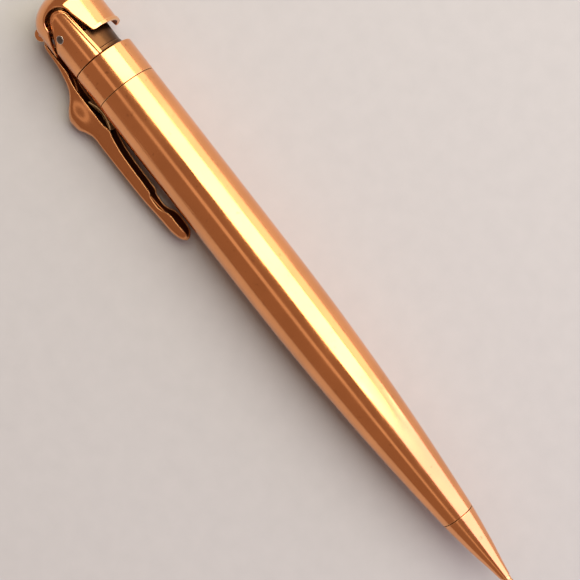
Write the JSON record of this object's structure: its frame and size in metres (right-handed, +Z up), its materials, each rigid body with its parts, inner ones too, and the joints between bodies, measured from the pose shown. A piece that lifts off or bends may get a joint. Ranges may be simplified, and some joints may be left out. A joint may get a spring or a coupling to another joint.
{
  "type": "mechanical pencil",
  "caption": "Slim gold-plated twist-feed mechanical pencil with a domed finger lever over its head that rocks open the long pocket clip.",
  "frame": {"origin": "middle of the pencil's length and width, on the table it lies on", "axes": "+X towards the writing point, +Z up from the table, pocket clip on the -Y side"},
  "size_m": [0.1324, 0.0182, 0.0127],
  "materials": {
    "rolled_gold": "polished, rose tinted",
    "pale_gold": "polished",
    "mechanism_brass": "turned",
    "bright_steel": "bright",
    "dark_neck": "darkened by age",
    "graphite": "matt",
    "eraser_rubber": "matt"
  },
  "bodies": {
    "barrel": {"barrel": "rolled_gold", "centre_bush": "mechanism_brass", "front_bush": "mechanism_brass", "spiral_tube": "pale_gold", "magazine_tube": "pale_gold", "magazine_plug": "mechanism_brass", "spare_leads": "graphite", "eraser_holder": "pale_gold", "eraser": "eraser_rubber"},
    "nose": {"nose_cone": "rolled_gold", "nozzle": "pale_gold", "slotted_tube": "mechanism_brass", "thrust_washer": "bright_steel", "lead_clutch": "mechanism_brass"},
    "feed": {"lead_carrier": "mechanism_brass", "drive_pin": "bright_steel", "push_rod": "bright_steel", "lead": "graphite"},
    "head": {"collar": "rolled_gold", "spigot_tube": "mechanism_brass", "retaining_ring": "bright_steel", "neck_tube": "dark_neck", "neck_cap": "dark_neck", "side_frame": "rolled_gold", "pivot_pin": "bright_steel", "return_spring": "bright_steel"},
    "lever": {"hood": "rolled_gold", "hood_lip": "pale_gold", "hood_bridge": "mechanism_brass", "link_pin": "bright_steel"},
    "clip": {"clip": "rolled_gold", "clip_boss": "pale_gold", "clip_knuckle": "mechanism_brass", "clip_leaf": "mechanism_brass"}
  },
  "joints": [
    {"name": "nose_twist", "type": "hinge", "parent": "barrel", "child": "nose", "pos_m": [-0.04535, 0.00256, 0.0063], "axis": [1, 0, 0], "range_deg": [-80, 960]},
    {"name": "lead_feed", "type": "slide", "parent": "nose", "child": "feed", "axis": [1, 0, 0], "range_m": [-0.00201, 0.02401]},
    {"name": "head_pull", "type": "slide", "parent": "barrel", "child": "head", "axis": [-1, 0, 0], "range_m": [0, 0.03]},
    {"name": "lever_press", "type": "hinge", "parent": "head", "child": "lever", "pos_m": [-0.05825, 0.00085, 0.00556], "axis": [0, 0.3971, -0.9178], "range_deg": [0, 15], "stiffness_Nm_per_rad": 0.01, "springref_deg": -28.65},
    {"name": "clip_rock", "type": "hinge", "parent": "lever", "child": "clip", "pos_m": [-0.06215, -0.00277, 0.004], "axis": [0, -0.3971, 0.9178], "range_deg": [0, 11.3]}
  ],
  "couplings": [
    {"joint": "lead_feed", "follows": "nose_twist", "m_per_rad": 0.0014324},
    {"joint": "clip_rock", "follows": "lever_press", "ratio": 0.748}
  ]
}
